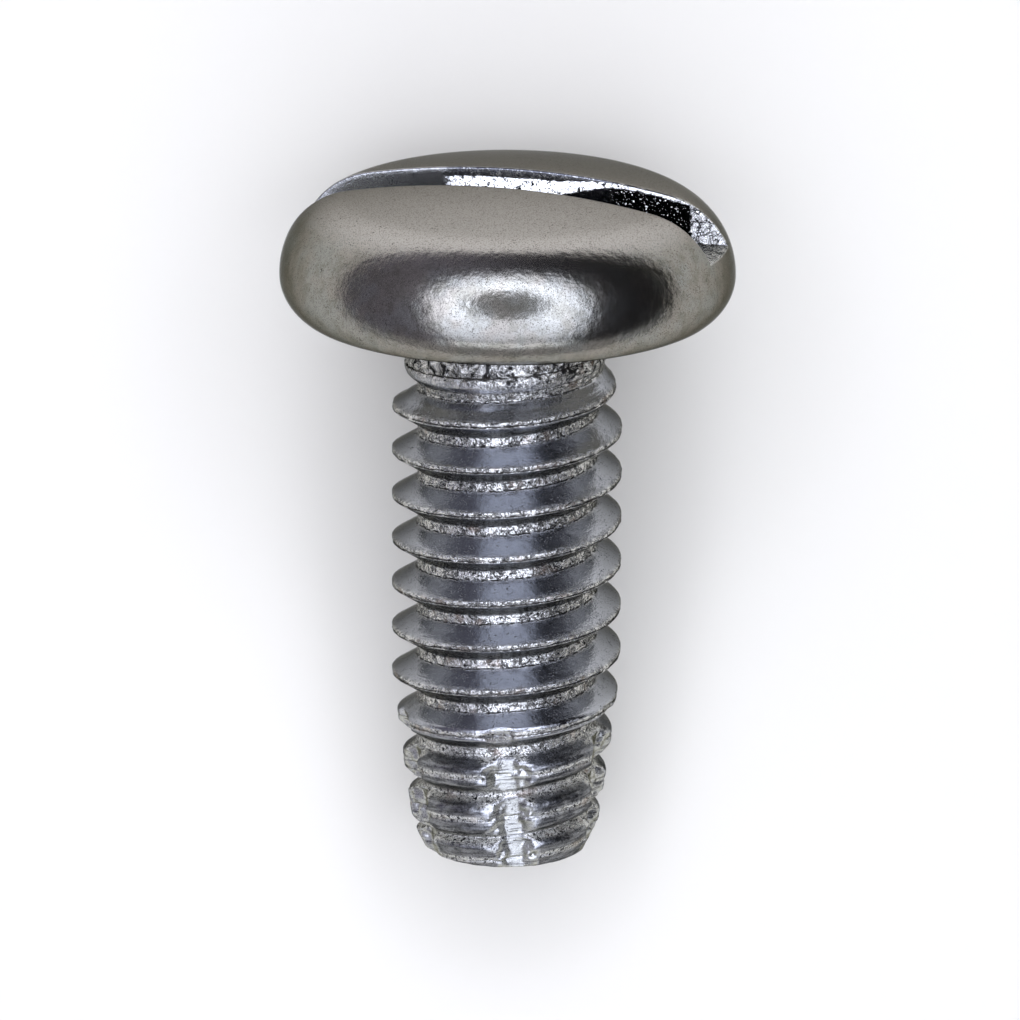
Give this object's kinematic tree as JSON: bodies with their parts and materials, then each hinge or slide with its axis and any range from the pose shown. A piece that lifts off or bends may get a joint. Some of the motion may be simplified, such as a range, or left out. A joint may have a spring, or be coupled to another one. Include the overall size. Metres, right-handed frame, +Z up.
{
  "type": "thread-cutting screw",
  "caption": "Slotted pan head thread-cutting screw with a coarse machine thread, a plain neck and a blunt tapered point with cutting flutes, lying at rest",
  "frame": {"origin": "middle of the screw's box on the table it lies on", "axes": "+Z up; the head is towards +X and the point towards -X; the screw's axis lies in the XZ plane and rises towards the head"},
  "size_m": [0.0198, 0.0124, 0.0122],
  "materials": {
    "zinc_plate": "satin"
  },
  "bodies": {
    "root": {"screw": "zinc_plate"}
  },
  "joints": []
}
